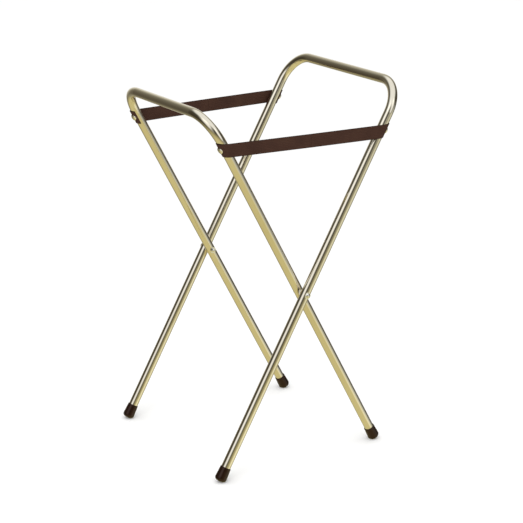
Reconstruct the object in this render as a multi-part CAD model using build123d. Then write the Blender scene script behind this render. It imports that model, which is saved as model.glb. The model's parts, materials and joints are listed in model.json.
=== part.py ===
from build123d import *
import os
from math import cos, radians, sin, tan

# Folding plastic bag holder: two nested U-shaped tube frames that cross on two pivots.
# The X axis runs from foot to foot, the Y axis along the top rails, and Z is up.
# The origin is on the floor under the middle of the object's box.
# Lengths are in millimetres and angles in degrees.

# Tube frames
TUBE_D = 19.05
TUBE_WALL = 1.2
TUBE_R = TUBE_D / 2
BEND_R = 62.5
PIVOT_Z = 354.6

# Each frame: half the distance between its legs, its lean, the height of its top rail,
# and the direction in which it leans (+1 when the top leans towards +X)
INNER = {"half": 175.2, "lean": 28.11, "top_z": 728.7, "way": -1}
OUTER = {"half": 197.5, "lean": 29.55, "top_z": 752.5, "way": +1}

# Rubber tips
TIP_LENGTH = 30.0
TIP_RIM_R = 10.9
TIP_BASE_R = 12.0
TIP_ROUND = 7.0
TIP_FLOOR = 6.0
TIP_FLAT_DEPTH = 1.2
RIM_BEAD = 0.8

# Pivot hardware, along the Y axis
BOLT_R = 2.5
BOLT_FIT = 0.03
PIVOT_RUN_FIT = 0.06
HEAD_R = 5.2
HEAD_H = 3.2
WASHER_R = 6.5
WASHER_T = 0.8
RUN_GAP = 0.35
NUT_ACROSS_FLATS = 8.0
NUT_H = 3.6
NUT_DOME_R = 3.4
NUT_DOME_H = 2.4
BOLT_TAIL = 2.6
HEAD_Y = OUTER["half"] + TUBE_R + WASHER_T
NUT_Y = INNER["half"] - TUBE_R - RUN_GAP - WASHER_T

# Straps of flat webbing
STRAP_W = 27.0
STRAP_T = 1.2
STRAP_Z = 664.0
STRAP_GAP = 0.45
STRAP_SPAN_GAP = 0.9
STRAP_END = 9.2
STRAP_HOLE_R = 2.6
STRAP_SPLIT = 0.522
SPLIT_GAP = 0.4
CUT_SPARE = 0.1

# Strap fixings: a cup washer, curved to the leg, and a countersunk screw
CUP_R = 7.0
CUP_TOP_R = 5.3
CUP_H = 1.5
CUP_SKIRT = 2.6
CUP_BORE_R = 2.1
CUP_MOUTH_R = 4.1
CUP_GAP = 0.15
CUP_SEAT = STRAP_GAP + STRAP_T + CUP_GAP
SCREW_R = 2.0
SCREW_LENGTH = 8.0
SCREW_HEAD_R = 4.0
SCREW_DOME_H = 0.6
CROSS_W = 0.8
CROSS_L = 4.0
CROSS_DEPTH = 1.0

FAR = 1000.0


def frame_plane(frame):
    """Plane of a U frame: local x runs along Y, local y up the legs, local z across the frame."""
    lean = radians(frame["lean"])
    return Plane(
        origin=(0, 0, PIVOT_Z),
        x_dir=(0, 1, 0),
        z_dir=(cos(lean), 0, -frame["way"] * sin(lean)),
    )


def along_leg(frame, height):
    """Distance up a leg from the pivot at which its centre line has the given world height."""
    return (height - PIVOT_Z) / cos(radians(frame["lean"]))


def tip_base(frame):
    """Distance from the pivot down to a tip's base, with the tip's lowest edge just in the floor."""
    lean = radians(frame["lean"])
    edge_centre = TIP_ROUND - TIP_FLAT_DEPTH + (TIP_BASE_R - TIP_ROUND) * sin(lean)
    return -along_leg(frame, edge_centre) + TIP_ROUND


def strap_fixing(frame):
    """Distance up the leg, and side of the leg, of the screw that holds a strap end."""
    lean = radians(frame["lean"])
    side = frame["way"]
    return along_leg(frame, STRAP_Z + TUBE_R * sin(lean)), side


def u_tube(frame):
    """Bent round tube with drilled pivot holes and pilot holes for the strap screws."""
    half = frame["half"]
    top = along_leg(frame, frame["top_z"])
    foot = TIP_FLOOR - tip_base(frame)
    corners = [(-half, foot), (-half, top), (half, top), (half, foot)]
    path = FilletPolyline(*corners, radius=BEND_R)
    start = Plane(origin=(-half, foot, 0), z_dir=(0, 1, 0))
    wall = start * (Circle(TUBE_R) - Circle(TUBE_R - TUBE_WALL))
    tube = sweep(wall, path=path)
    tube = frame_plane(frame) * tube
    fit = BOLT_FIT if frame is OUTER else PIVOT_RUN_FIT
    tube -= Pos(0, 0, PIVOT_Z) * Rot(90, 0, 0) * Cylinder(BOLT_R + fit, FAR)
    along, side = strap_fixing(frame)
    for y in (-half, half):
        hole = Pos(y, along, side * TUBE_R) * Cylinder(SCREW_R, TUBE_R)
        tube -= frame_plane(frame) * hole
    return tube


def rubber_tip(frame, y_side):
    """Blind rubber cap on a leg's end, domed at its edge and worn flat where it stands."""
    base = -tip_base(frame)
    rim = base + TIP_LENGTH
    with BuildSketch() as half_section:
        with BuildLine():
            edge = (TIP_BASE_R, base + TIP_ROUND)
            under = (TIP_BASE_R - TIP_ROUND, base)
            Line((0, base), under)
            RadiusArc(under, edge, -TIP_ROUND)
            Line(edge, (TIP_RIM_R, rim - RIM_BEAD))
            Line((TIP_RIM_R, rim - RIM_BEAD), (TIP_RIM_R - RIM_BEAD, rim))
            Line((TIP_RIM_R - RIM_BEAD, rim), (TUBE_R, rim))
            Line((TUBE_R, rim), (TUBE_R, base + TIP_FLOOR))
            Line((TUBE_R, base + TIP_FLOOR), (0, base + TIP_FLOOR))
            Line((0, base + TIP_FLOOR), (0, base))
        make_face()
    cap = revolve(half_section.sketch, axis=Axis.Y)
    cap = frame_plane(frame) * (Pos(y_side * frame["half"], 0, 0) * cap)
    floor = Pos(0, 0, -FAR / 2) * Box(FAR, FAR, FAR)
    return cap - floor


def along_y(shape, y, y_side):
    """Stand a shape, drawn along +Z, on the pivot axis at y and point it away from the middle."""
    return Pos(0, y_side * y, PIVOT_Z) * Rot(-90 * y_side, 0, 0) * shape


def cylinder(radius, height):
    """Upright cylinder with its base at the origin."""
    return Cylinder(radius, height, align=(Align.CENTER, Align.CENTER, Align.MIN))


def cone(base_r, top_r, height):
    """Upright cut-off cone with its base at the origin."""
    return Cone(base_r, top_r, height, align=(Align.CENTER, Align.CENTER, Align.MIN))


def ring(outer_r, inner_r, height):
    """Flat washer with its base at the origin."""
    return extrude(Circle(outer_r) - Circle(inner_r), height)


def dome(radius, height):
    """Shallow dome with its flat base at the origin."""
    ball_r = (radius**2 + height**2) / (2 * height)
    ball = Pos(0, 0, height - ball_r) * Sphere(ball_r)
    return ball & (Pos(0, 0, FAR / 2) * Box(FAR, FAR, FAR))


def pivot_bolt(y_side):
    """Dome-headed pivot bolt through both legs; its head is on the outer leg."""
    length = HEAD_Y - NUT_Y + BOLT_TAIL
    shank = Pos(0, 0, -length) * cylinder(BOLT_R, length)
    return along_y(dome(HEAD_R, HEAD_H) + shank, HEAD_Y, y_side)


def head_washer(y_side):
    """Washer between the bolt head and the outer leg."""
    return along_y(ring(WASHER_R, BOLT_R + BOLT_FIT, WASHER_T), OUTER["half"] + TUBE_R, y_side)


def nut_washer(y_side):
    """Washer under the cap nut, with running clearance to the inner leg."""
    return along_y(ring(WASHER_R, BOLT_R + BOLT_FIT, WASHER_T), NUT_Y, y_side)


def pivot_spacer(y_side):
    """Plastic spacer that keeps the two legs apart."""
    start = INNER["half"] + TUBE_R + RUN_GAP
    thickness = OUTER["half"] - TUBE_R - start
    return along_y(ring(WASHER_R, BOLT_R + BOLT_FIT, thickness), start, y_side)


def cap_nut(y_side):
    """Hexagonal cap nut on the bolt's inner end."""
    hexagon = extrude(RegularPolygon(NUT_ACROSS_FLATS / 2, 6, major_radius=False), -NUT_H)
    cap = Pos(0, 0, -NUT_H) * Rot(180, 0, 0) * dome(NUT_DOME_R, NUT_DOME_H)
    bore = Pos(0, 0, -BOLT_TAIL) * cylinder(BOLT_R, BOLT_TAIL)
    return along_y(hexagon + cap - bore, NUT_Y, y_side)


def at_strap_fixing(frame, y_side, shape):
    """Put a shape, drawn along +Z, on the strap fixing with its base on the tube."""
    along, side = strap_fixing(frame)
    turn = Rot(90 - 90 * side, 0, 0)
    return frame_plane(frame) * (Pos(y_side * frame["half"], along, side * TUBE_R) * turn * shape)


def cup_washer(frame, y_side):
    """Cup washer that holds a strap end on the tube; its skirt follows the tube's curve."""
    skirt = Pos(0, 0, -CUP_SKIRT) * cylinder(CUP_R, CUP_SKIRT)
    bore = Pos(0, 0, -CUP_SKIRT) * cylinder(CUP_BORE_R, CUP_SKIRT)
    cup = cone(CUP_R, CUP_TOP_R, CUP_H) + skirt
    cup -= cone(CUP_BORE_R, CUP_MOUTH_R, CUP_H) + bore
    cup = Pos(0, 0, CUP_SEAT) * cup
    under = Pos(0, 0, -TUBE_R) * Rot(90, 0, 0) * Cylinder(TUBE_R + CUP_SEAT, FAR)
    return at_strap_fixing(frame, y_side, cup - under)


def strap_screw(frame, y_side):
    """Countersunk screw through a cup washer and the strap into the tube wall."""
    top = CUP_SEAT + CUP_H
    shank = Pos(0, 0, top - SCREW_LENGTH) * cylinder(SCREW_R, SCREW_LENGTH)
    head = Pos(0, 0, CUP_SEAT) * cone(SCREW_R, SCREW_HEAD_R, CUP_H)
    head += Pos(0, 0, top) * dome(SCREW_HEAD_R, SCREW_DOME_H)
    cross = Box(CROSS_W, CROSS_L, CROSS_DEPTH) + Box(CROSS_L, CROSS_W, CROSS_DEPTH)
    cross = Pos(0, 0, top + SCREW_DOME_H - CROSS_DEPTH / 2) * cross
    return at_strap_fixing(frame, y_side, (shank + head) - cross)


def strap_wrap(frame, y_side):
    """The end of a strap: a quarter turn round the leg and a little past its screw."""
    inner_r = TUBE_R + STRAP_GAP
    outer_r = inner_r + STRAP_T
    side = frame["way"]
    shell = Rot(90, 0, 0) * Cylinder(outer_r, FAR) - Rot(90, 0, 0) * Cylinder(inner_r, FAR)
    reach = Box(outer_r + STRAP_END, FAR, outer_r)
    reach = Pos(y_side * (outer_r - STRAP_END) / 2, 0, side * outer_r / 2) * reach
    along, _ = strap_fixing(frame)
    hole = Pos(0, along, side * TUBE_R) * Cylinder(STRAP_HOLE_R, TUBE_R)
    wrap = (shell & reach) - hole
    wrap = frame_plane(frame) * (Pos(y_side * frame["half"], 0, 0) * wrap)
    return wrap & (Pos(0, 0, STRAP_Z) * Box(FAR, FAR, STRAP_W))


def strap_span(frame, y_side):
    """The flat part of half a strap, from its leg to the crease in the span."""
    near = TUBE_R + STRAP_SPAN_GAP
    ends = []
    for each in (INNER, OUTER):
        x = each["way"] * (STRAP_Z - PIVOT_Z) * tan(radians(each["lean"]))
        ends.append(Vector(x, y_side * (each["half"] + near), 0))
    run = ends[1] - ends[0]
    step = Vector(0, y_side * STRAP_T, 0)
    first, last = ends[0] - run * CUT_SPARE, ends[1] + run * CUT_SPARE
    band = extrude(make_face(Polyline(first, last, last + step, first + step, close=True)), STRAP_W)
    band = Pos(0, 0, STRAP_Z - STRAP_W / 2) * band
    beyond = Pos(0, 0, -frame["way"] * FAR / 2) * Box(FAR, FAR, FAR)
    band &= frame_plane(frame) * beyond
    crease = ends[0] + run * STRAP_SPLIT
    keep = Pos(crease.X + frame["way"] * (FAR + SPLIT_GAP) / 2, 0, STRAP_Z) * Box(FAR, FAR, FAR)
    return band & keep


def strap_half(frame, y_side):
    """Half of a strap, from its screwed end round the leg to the crease."""
    return strap_span(frame, y_side) + strap_wrap(frame, y_side)


def build_parts():
    """All sub-parts by name, with the pivot axis above x = 0."""
    parts = {}
    for frame_name, frame in (("outer", OUTER), ("inner", INNER)):
        parts[frame_name + "_frame_tube"] = u_tube(frame)
        for side_name, y_side in (("front", -1), ("rear", +1)):
            place = side_name + "_" + frame_name
            parts[place + "_rubber_tip"] = rubber_tip(frame, y_side)
            parts[place + "_strap_half"] = strap_half(frame, y_side)
            parts[place + "_strap_cup_washer"] = cup_washer(frame, y_side)
            parts[place + "_strap_screw"] = strap_screw(frame, y_side)
    for side_name, y_side in (("front", -1), ("rear", +1)):
        parts[side_name + "_pivot_bolt"] = pivot_bolt(y_side)
        parts[side_name + "_pivot_head_washer"] = head_washer(y_side)
        parts[side_name + "_pivot_spacer"] = pivot_spacer(y_side)
        parts[side_name + "_pivot_nut_washer"] = nut_washer(y_side)
        parts[side_name + "_pivot_cap_nut"] = cap_nut(y_side)
    return parts


def main():
    """Centre the object over the origin and write one STEP file per sub-part."""
    os.makedirs("parts", exist_ok=True)
    parts = build_parts()
    boxes = [part.bounding_box() for part in parts.values()]
    centre_x = (min(box.min.X for box in boxes) + max(box.max.X for box in boxes)) / 2
    print("pivot axis: x", -centre_x, "z", PIVOT_Z)
    for name, part in parts.items():
        export_step(Pos(-centre_x, 0, 0) * part, "parts/" + name + ".step")


main()
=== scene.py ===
import json
from math import asin, cos, pi, radians, sin

import bmesh
import bpy
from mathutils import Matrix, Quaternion, Vector


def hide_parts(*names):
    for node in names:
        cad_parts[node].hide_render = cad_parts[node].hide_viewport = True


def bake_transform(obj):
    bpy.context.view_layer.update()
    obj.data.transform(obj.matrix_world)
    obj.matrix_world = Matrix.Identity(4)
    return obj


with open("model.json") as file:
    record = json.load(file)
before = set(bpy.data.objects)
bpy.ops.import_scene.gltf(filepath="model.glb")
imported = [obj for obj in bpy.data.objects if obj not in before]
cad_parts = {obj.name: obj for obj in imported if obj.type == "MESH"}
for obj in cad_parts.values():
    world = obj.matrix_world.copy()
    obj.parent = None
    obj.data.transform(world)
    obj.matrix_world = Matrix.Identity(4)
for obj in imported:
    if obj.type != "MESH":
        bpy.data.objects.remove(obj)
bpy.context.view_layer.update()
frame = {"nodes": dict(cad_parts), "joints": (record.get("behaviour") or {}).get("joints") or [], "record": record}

# Folding plastic bag holder. The tubes, rubber tips and fixings keep their CAD meshes and get
# materials; each half of a strap is replaced by woven webbing. Lengths are in metres.

# Straps: the webbing, its places on the tube, and the steps that its mesh is made in
TUBE_R = 0.01905 / 2
STRAP_W = 0.027
STRAP_T = 0.0012
STRAP_LIFT = 0.0003
STRAP_EDGE_R = 0.0005
STRAP_SPLIT = 0.522
STRAP_BOW = 0.0015
END_PAST_SCREW = 0.0092
MIDDLE_LIFT = STRAP_LIFT + STRAP_T / 2
MIDDLE_R = TUBE_R + MIDDLE_LIFT
START_TURN = -asin(END_PAST_SCREW / (TUBE_R + STRAP_LIFT + STRAP_T))
RIB_PITCH = 0.003158
PICK_PITCH = 0.001777
WRAP_STEPS = 30
SPAN_STEPS = 90
WIDTH_STEPS = 26
CORNER_STEPS = 4

# Camera: its direction from the target in degrees, its distance, lens in millimetres and roll
AZIMUTH = -31.47
ELEVATION = 16.99
DISTANCE = 3.542
TARGET = Vector((-0.0122, -0.0326, 0.380))
LENS = 119.1
SENSOR_W = 36
ROLL = -0.27

# Studio
CENTRE = Vector((0, 0, 0.4))
FLOOR_SIZE = 60
WALLS_R = 9.0
KEY_OFFSET = Vector((-1.9, -1.6, 2.3))
KEY_SIZE = 2.2
KEY_POWER = 28

# Soft lights seen in the metal: direction, then (degrees from it, colour) outwards
BLACK = (0.0, 0.0, 0.0)
REFLECTED = {
    "overhead": ((0, -0.08, 1), [
        (0, (0.96, 0.97, 0.96)), (38, (0.92, 0.93, 0.92)), (47, (0.55, 0.56, 0.54)),
        (53, (0.20, 0.20, 0.18)), (62, (0.07, 0.065, 0.05)), (90, (0.055, 0.045, 0.03)),
        (180, (0.04, 0.035, 0.02)),
    ]),
    "rear wall": ((0.40, 0.91, 0.10), [
        (0, (0.77, 0.76, 0.70)), (12, (0.75, 0.74, 0.68)), (21, (0.57, 0.55, 0.47)),
        (33, (0.28, 0.265, 0.205)), (43, (0.13, 0.12, 0.09)), (50, (0.085, 0.077, 0.055)),
        (64, BLACK),
    ]),
    "left": ((-0.82, -0.33, 0.46), [
        (0, (0.95, 0.95, 0.94)), (15, (0.92, 0.92, 0.91)), (24, (0.30, 0.30, 0.28)), (36, BLACK),
    ]),
    "front": ((0.25, -0.87, 0.42), [
        (0, (0.95, 0.95, 0.94)), (15, (0.85, 0.85, 0.83)), (24, (0.12, 0.12, 0.10)), (34, BLACK),
    ]),
    "warm table below": ((-0.10, -0.30, -0.95), [
        (0, (0.63, 0.565, 0.27)), (50, (0.60, 0.535, 0.255)), (65, (0.35, 0.315, 0.155)),
        (75, (0.12, 0.11, 0.06)), (86, BLACK),
    ]),
    "low on the right": ((0.70, -0.60, -0.38), [
        (0, (0.36, 0.38, 0.37)), (15, (0.34, 0.36, 0.35)), (38, BLACK),
    ]),
}

# The sides of the Y axis and, for each frame, the side of the X axis that its top leans to
SIDES = {"front": -1, "rear": +1}
FRAMES = {"inner": -1, "outer": +1}
joints = {joint["name"]: joint for joint in frame["joints"]}


# ---------------------------------------------------------------- node helpers
def new_material(name):
    """New node material, and its Principled shader."""
    material = bpy.data.materials.new(name)
    material.use_nodes = True
    shader = material.node_tree.nodes["Principled BSDF"]
    return material, shader


def node(material, kind, **values):
    """Add a node and set its properties and, by input name, its sockets."""
    made = material.node_tree.nodes.new(kind)
    for key, value in values.items():
        if hasattr(made, key):
            setattr(made, key, value)
        else:
            made.inputs[key.replace("_", " ")].default_value = value
    return made


def link(material, source, target):
    """Join an output socket to an input socket."""
    material.node_tree.links.new(source, target)


def ramp(material, source, stops):
    """Colour ramp of (position, colour) stops driven by a socket."""
    made = node(material, "ShaderNodeValToRGB")
    elements = made.color_ramp.elements
    while len(elements) < len(stops):
        elements.new(0.5)
    for element, (position, colour) in zip(elements, stops):
        element.position = position
        element.color = (*colour, 1)
    link(material, source, made.inputs["Fac"])
    return made.outputs["Color"]


def grey(value):
    """Colour with three equal channels."""
    return (value, value, value)


def noise(material, vector, scale, detail=4.0, rough=0.5):
    """Noise in space, from 0 to 1."""
    made = node(material, "ShaderNodeTexNoise", Scale=scale, Detail=detail, Roughness=rough)
    link(material, vector, made.inputs["Vector"])
    return made.outputs["Fac"]


def stretched(material, scale):
    """Object coordinates stretched by scale, so that a noise makes streaks or grain."""
    coords = node(material, "ShaderNodeTexCoord")
    mapping = node(material, "ShaderNodeMapping", Scale=scale)
    link(material, coords.outputs["Object"], mapping.inputs["Vector"])
    return mapping.outputs["Vector"]


def unstretched(material):
    """Object coordinates as they are."""
    return stretched(material, (1, 1, 1))


def mapped(material, value, **limits):
    """A value moved from one range to another."""
    made = node(material, "ShaderNodeMapRange", **limits)
    link(material, value, made.inputs["Value"])
    return made.outputs[0]


def product(material, first, second):
    """Two values multiplied."""
    made = node(material, "ShaderNodeMath", operation="MULTIPLY")
    link(material, first, made.inputs[0])
    link(material, second, made.inputs[1])
    return made.outputs[0]


def total(material, first, second):
    """Two colours added."""
    made = node(material, "ShaderNodeVectorMath", operation="ADD")
    link(material, first, made.inputs[0])
    link(material, second, made.inputs[1])
    return made.outputs[0]


def bump(material, shader, height, strength, distance):
    """Relief from a height between 0 and 1."""
    made = node(material, "ShaderNodeBump", Strength=strength, Distance=distance)
    link(material, height, made.inputs["Height"])
    link(material, made.outputs["Normal"], shader.inputs["Normal"])


# ---------------------------------------------------------------- materials
def tinted_metal(name, scale, low, high):
    """Metal whose tint drifts between two colours; returns it, its shader and its coordinates."""
    material, shader = new_material(name)
    shader.inputs["Metallic"].default_value = 1.0
    even = unstretched(material)
    tint = noise(material, even, scale)
    colour = ramp(material, tint, [(0.3, low), (0.7, high)])
    link(material, colour, shader.inputs["Base Color"])
    return material, shader, even


def tube_metal():
    """Bright plated tube with a warm champagne tint, fine draw marks and rub haze."""
    material, shader, even = tinted_metal(
        "champagne_tube", 9.0, (0.80, 0.745, 0.63), (0.88, 0.83, 0.73)
    )
    haze = noise(material, even, 38.0, detail=8.0, rough=0.65)
    gloss = ramp(material, haze, [(0.35, grey(0.06)), (0.62, grey(0.10)), (0.8, grey(0.17))])
    link(material, gloss, shader.inputs["Roughness"])
    draw = noise(material, stretched(material, (900, 900, 35)), 1.0, detail=2.0)
    bump(material, shader, draw, 0.05, 0.0002)
    return material


def worn_metal(name, tint_scale, tints, haze_scale, glosses, relief):
    """Small plated fixing, a little hazed all over."""
    material, shader, even = tinted_metal(name, tint_scale, *tints)
    haze = noise(material, even, haze_scale, detail=6.0)
    gloss = ramp(material, haze, [(0.3, grey(glosses[0])), (0.7, grey(glosses[1]))])
    link(material, gloss, shader.inputs["Roughness"])
    bump(material, shader, haze, relief, 0.0002)
    return material


def fixing_metal():
    """Pale gold cup washers and strap screws."""
    tints = ((0.93, 0.88, 0.72), (0.99, 0.97, 0.88))
    return worn_metal("pale_gold_fixing", 260.0, tints, 900.0, (0.28, 0.44), 0.08)


def bolt_metal():
    """Bright plated pivot bolts, washers and nuts."""
    tints = ((0.80, 0.79, 0.75), (0.93, 0.92, 0.89))
    return worn_metal("bright_bolt", 300.0, tints, 700.0, (0.14, 0.28), 0.06)


def tip_rubber():
    """Very dark brown moulded rubber, slightly glossy and finely mottled."""
    material, shader = new_material("brown_tip_rubber")
    even = unstretched(material)
    mottle = noise(material, even, 220.0, detail=6.0)
    darks = [(0.3, (0.0085, 0.0030, 0.0017)), (0.75, (0.018, 0.0068, 0.0040))]
    link(material, ramp(material, mottle, darks), shader.inputs["Base Color"])
    gloss = ramp(material, mottle, [(0.3, grey(0.09)), (0.75, grey(0.17))])
    link(material, gloss, shader.inputs["Roughness"])
    shader.inputs["Specular IOR Level"].default_value = 0.38
    shader.inputs["Specular Tint"].default_value = (1.0, 0.76, 0.70, 1)
    bump(material, shader, noise(material, even, 1400.0), 0.10, 0.0003)
    return material


def spacer_nylon():
    """Natural nylon spacer."""
    material, shader = new_material("natural_nylon")
    cloud = noise(material, unstretched(material), 180.0)
    colour = ramp(material, cloud, [(0.3, (0.62, 0.58, 0.47)), (0.7, (0.74, 0.71, 0.61))])
    link(material, colour, shader.inputs["Base Color"])
    gloss = ramp(material, cloud, [(0.3, grey(0.38)), (0.7, grey(0.5))])
    link(material, gloss, shader.inputs["Roughness"])
    return material


def bands(material, uv, direction, pitch, distortion):
    """Rounded bands across one direction of the webbing; at scale 1 they repeat every pi / 10."""
    made = node(
        material, "ShaderNodeTexWave", wave_type="BANDS", bands_direction=direction,
        Scale=pi / 10 / pitch, Distortion=distortion, Detail=1.0,
    )
    link(material, uv, made.inputs["Vector"])
    return made.outputs["Fac"]


def selvedge_shade(material, uv):
    """1 over the middle of the webbing, falling towards its two selvedges."""
    split = node(material, "ShaderNodeSeparateXYZ")
    link(material, uv, split.inputs["Vector"])
    across = node(material, "ShaderNodeMath", operation="ABSOLUTE")
    link(material, split.outputs["Y"], across.inputs[0])
    return mapped(
        material, across.outputs[0],
        From_Min=STRAP_W * 0.43, From_Max=STRAP_W * 0.49, To_Min=1.0, To_Max=0.55,
    )


def strap_webbing():
    """Dark chocolate webbing: ribs along the strap crossed by a fine weave, with painted shade in the weave's
    hollows; darker selvedges.
    """
    material, shader = new_material("chocolate_webbing")
    uv = node(material, "ShaderNodeTexCoord").outputs["UV"]
    ribs = bands(material, uv, "Y", RIB_PITCH, 0.4)
    picks = bands(material, uv, "X", PICK_PITCH, 0.6)
    weave = product(material, ribs, picks)
    wear = noise(material, unstretched(material), 34.0, detail=6.0)
    browns = [(0.3, (0.050, 0.019, 0.011)), (0.55, (0.060, 0.0235, 0.0135)), (0.8, (0.068, 0.030, 0.016))]
    # Painted shade in the weave: the colour is darker in its hollows and lighter on its crowns, over its bump.
    painted_weave_shade = mapped(material, weave, To_Min=0.72, To_Max=1.12)
    shade = product(material, selvedge_shade(material, uv), painted_weave_shade)
    tinted = node(material, "ShaderNodeVectorMath", operation="SCALE")
    link(material, ramp(material, wear, browns), tinted.inputs[0])
    link(material, shade, tinted.inputs["Scale"])
    link(material, tinted.outputs[0], shader.inputs["Base Color"])
    shader.inputs["Roughness"].default_value = 0.75
    shader.inputs["Specular IOR Level"].default_value = 0.2
    shader.inputs["Sheen Weight"].default_value = 0.05
    shader.inputs["Sheen Roughness"].default_value = 0.5
    shader.inputs["Sheen Tint"].default_value = (0.45, 0.22, 0.14, 1)
    bump(material, shader, weave, 0.45, 0.0004)
    return material


def lobe(material, direction, toward, stops):
    """Light from round one direction: stops run from (angle in degrees, colour) outwards."""
    near = node(material, "ShaderNodeVectorMath", operation="DOT_PRODUCT")
    link(material, direction, near.inputs[0])
    near.inputs[1].default_value = Vector(toward).normalized()
    share = mapped(material, near.outputs["Value"], From_Min=-1.0, From_Max=1.0)
    outwards = [((1 + cos(radians(angle))) / 2, colour) for angle, colour in reversed(stops)]
    return ramp(material, share, outwards)


def studio_glow():
    """What bright metal sees of the studio: soft boxes, a lit wall and a warm table."""
    material = bpy.data.materials.new("studio_glow")
    material.use_nodes = True
    material.node_tree.nodes.clear()
    coords = node(material, "ShaderNodeTexCoord")
    unit = node(material, "ShaderNodeVectorMath", operation="NORMALIZE")
    link(material, coords.outputs["Object"], unit.inputs[0])
    lobes = [lobe(material, unit.outputs[0], *light) for light in REFLECTED.values()]
    glow = lobes[0]
    for part in lobes[1:]:
        glow = total(material, glow, part)
    light = node(material, "ShaderNodeEmission")
    link(material, glow, light.inputs["Color"])
    output = node(material, "ShaderNodeOutputMaterial")
    link(material, light.outputs[0], output.inputs["Surface"])
    return material


# ---------------------------------------------------------------- straps
class Leg:
    """A leg that a strap end wraps: its axis, and the sides that the strap and its screw are on."""

    def __init__(self, frame_name, side_name):
        way = FRAMES[frame_name]
        self.hinge = Vector(joints[f"{side_name}_{frame_name}_strap_swing"]["pos_m"])
        pivot = Vector(joints["fold"]["pos_m"])
        pivot.y = self.hinge.y
        self.up = (self.hinge - pivot).normalized()
        self.out = Vector((0, SIDES[side_name], 0))
        self.screw_side = Vector((way * self.up.z, 0, -way * self.up.x))

    def wrap_point(self, turn, lift, height):
        """Point at an angle round the leg from its screw side, off the tube, at a world height."""
        radial = self.screw_side * cos(turn) + self.out * sin(turn)
        reach = self.hinge + radial * (TUBE_R + lift)
        return reach + self.up * ((height - reach.z) / self.up.z)


def strap_section():
    """Outline of the webbing's cross-section: (across, through) with rounded selvedges."""
    half_w = STRAP_W / 2 - STRAP_EDGE_R
    half_t = STRAP_T / 2 - STRAP_EDGE_R
    outline = []
    for number, (across_side, through_side) in enumerate(((-1, 1), (1, 1), (1, -1), (-1, -1))):
        for step in range(CORNER_STEPS + 1):
            angle = pi - (number + step / CORNER_STEPS) * pi / 2
            across = across_side * half_w + STRAP_EDGE_R * cos(angle)
            through = through_side * half_t + STRAP_EDGE_R * sin(angle)
            outline.append((across, through))
        face_follows = across_side != through_side
        if face_follows:
            for step in range(1, WIDTH_STEPS):
                across = across_side * half_w * (1 - 2 * step / WIDTH_STEPS)
                outline.append((across, through_side * STRAP_T / 2))
    return outline


def wrap_ring(leg, turn, section):
    """Cross-section of the webbing at an angle round its leg."""
    return [
        leg.wrap_point(turn, MIDDLE_LIFT + through, leg.hinge.z + across)
        for across, through in section
    ]


def span_ring(leg, other, share, part, section):
    """Cross-section of the webbing at a part of the way from its leg to the crease."""
    crease_x = leg.hinge.x + (other.hinge.x - leg.hinge.x) * share
    ring = []
    for across, through in section:
        lift = MIDDLE_LIFT + through + STRAP_BOW * part
        near = leg.wrap_point(pi / 2, lift, leg.hinge.z + across)
        far = other.wrap_point(pi / 2, lift, leg.hinge.z + across)
        to_crease = (crease_x - near.x) / (far.x - near.x)
        ring.append(near.lerp(far, to_crease * part))
    return ring


def strap_rings(leg, other, share, section):
    """Cross-sections along half a strap, each after its distance along the webbing."""
    rings = []
    for step in range(WRAP_STEPS + 1):
        turn = START_TURN + (pi / 2 - START_TURN) * step / WRAP_STEPS
        rings.append((MIDDLE_R * turn, wrap_ring(leg, turn, section)))
    run = (other.hinge - leg.hinge).length * share
    for step in range(1, SPAN_STEPS + 1):
        part = step / SPAN_STEPS
        along = MIDDLE_R * pi / 2 + run * part
        rings.append((along, span_ring(leg, other, share, part, section)))
    return rings


def turn_outwards(mesh):
    """Turn every face outwards."""
    shell = bmesh.new()
    shell.from_mesh(mesh)
    bmesh.ops.recalc_face_normals(shell, faces=shell.faces)
    shell.to_mesh(mesh)
    shell.free()


def strap_mesh(name, rings, section):
    """Closed skin of quads over the rings; its UVs are the places along and across the webbing."""
    count = len(section)
    points = [point for _, ring in rings for point in ring]
    uvs = [(along, across) for along, _ in rings for across, _ in section]
    faces = []
    for start in range(0, len(points) - count, count):
        for i in range(count):
            j = (i + 1) % count
            faces.append((start + i, start + j, start + count + j, start + count + i))
    faces.append(tuple(range(count)))
    faces.append(tuple(range(len(points) - 1, len(points) - 1 - count, -1)))
    mesh = bpy.data.meshes.new(name)
    mesh.from_pydata(points, [], faces)
    layer = mesh.uv_layers.new(name="weave")
    for loop in mesh.loops:
        layer.data[loop.index].uv = uvs[loop.vertex_index]
    mesh.validate()
    for polygon in mesh.polygons:
        polygon.use_smooth = len(polygon.vertices) == 4
    turn_outwards(mesh)
    return mesh


def strap_half(frame_name, side_name, section, material):
    """One half of a strap: it starts past its screw, wraps the leg and runs to the crease."""
    leg = Leg(frame_name, side_name)
    other = Leg("outer" if frame_name == "inner" else "inner", side_name)
    share = STRAP_SPLIT if frame_name == "inner" else 1 - STRAP_SPLIT
    rings = strap_rings(leg, other, share, section)
    mesh = strap_mesh(f"{side_name}_{frame_name}_webbing", rings, section)
    mesh.materials.append(material)
    piece = put(mesh.name, mesh)
    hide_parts(f"{side_name}_{frame_name}_strap_half")
    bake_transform(piece)


# ---------------------------------------------------------------- studio
def put(name, data, place=(0, 0, 0)):
    """New object in the scene, at a place."""
    made = bpy.data.objects.new(name, data)
    bpy.context.collection.objects.link(made)
    made.location = place
    return made


def aim(made, direction, roll=0.0):
    """Point a lamp or a camera along a direction, rolled by an angle in degrees."""
    made.rotation_mode = "QUATERNION"
    turn = direction.to_track_quat("-Z", "Y")
    made.rotation_quaternion = turn @ Quaternion((0, 0, 1), radians(roll))


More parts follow.
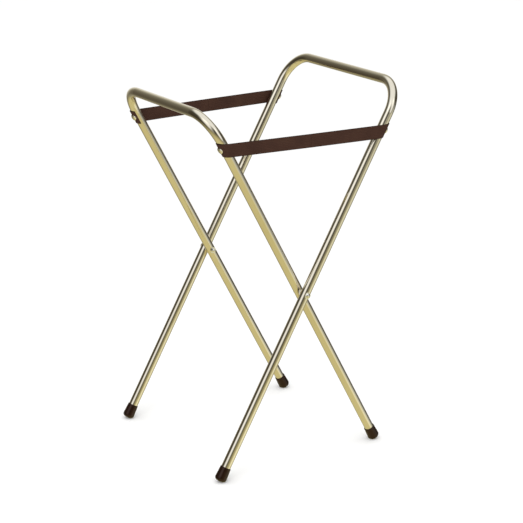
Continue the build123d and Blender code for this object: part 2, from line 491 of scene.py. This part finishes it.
def build_floor():
    """Plain pale floor, which the metal doesn't reflect."""
    mesh = bpy.data.meshes.new("studio_floor")
    reach = FLOOR_SIZE / 2
    corners = [(-reach, -reach, 0), (reach, -reach, 0), (reach, reach, 0), (-reach, reach, 0)]
    mesh.from_pydata(corners, [], [(0, 1, 2, 3)])
    material, shader = new_material("pale_floor")
    shader.inputs["Base Color"].default_value = (1.0, 1.0, 0.995, 1)
    shader.inputs["Roughness"].default_value = 1.0
    shader.inputs["Specular IOR Level"].default_value = 0.0
    mesh.materials.append(material)
    floor = put("studio_floor", mesh)
    floor.visible_glossy = False


def build_walls():
    """Glowing sphere round the object, seen only in its reflections."""
    shell = bmesh.new()
    bmesh.ops.create_uvsphere(shell, u_segments=48, v_segments=24, radius=WALLS_R)
    mesh = bpy.data.meshes.new("studio_walls")
    shell.to_mesh(mesh)
    shell.free()
    mesh.materials.append(studio_glow())
    walls = put("studio_walls", mesh, CENTRE)
    walls.visible_camera = False
    walls.visible_diffuse = False
    walls.visible_shadow = False
    walls.visible_transmission = False
    walls.visible_volume_scatter = False


def build_lights():
    """White surroundings and one large soft key light, high on the left."""
    world = bpy.data.worlds.new("studio")
    world.use_nodes = True
    background = world.node_tree.nodes["Background"]
    background.inputs["Color"].default_value = (1, 1, 1, 1)
    background.inputs["Strength"].default_value = 1.0
    bpy.context.scene.world = world
    lamp = bpy.data.lights.new("key_light", "AREA")
    lamp.shape = "RECTANGLE"
    lamp.size = KEY_SIZE
    lamp.size_y = KEY_SIZE
    lamp.energy = KEY_POWER
    key = put("key_light", lamp, CENTRE + KEY_OFFSET)
    aim(key, -KEY_OFFSET)
    key.visible_glossy = False


def build_camera():
    """Camera that looks down at the object from its front left."""
    azimuth, elevation = radians(AZIMUTH), radians(ELEVATION)
    back = Vector((
        sin(azimuth) * cos(elevation),
        -cos(azimuth) * cos(elevation),
        sin(elevation),
    ))
    data = bpy.data.cameras.new("camera")
    data.lens = LENS
    data.sensor_width = SENSOR_W
    camera = put("camera", data, TARGET + back * DISTANCE)
    aim(camera, -back, ROLL)
    bpy.context.scene.camera = camera


# ---------------------------------------------------------------- assembly
def dress_frame():
    """Give each rigid node the material of its slot."""
    looks = {
        "tube_metal": tube_metal(),
        "fixing_metal": fixing_metal(),
        "bolt_metal": bolt_metal(),
        "tip_rubber": tip_rubber(),
        "spacer_nylon": spacer_nylon(),
    }
    for part in frame["record"]["subparts"]:
        look = looks.get(part["material_slot"])
        if look is not None:
            for material_slot in frame["nodes"][part["node"]].material_slots:
                material_slot.material = look


build_camera()
build_floor()
build_walls()
build_lights()
dress_frame()
webbing = strap_webbing()
webbing_section = strap_section()
for side_name in SIDES:
    for frame_name in FRAMES:
        strap_half(frame_name, side_name, webbing_section, webbing)
bpy.context.scene.view_settings.view_transform = "Standard"
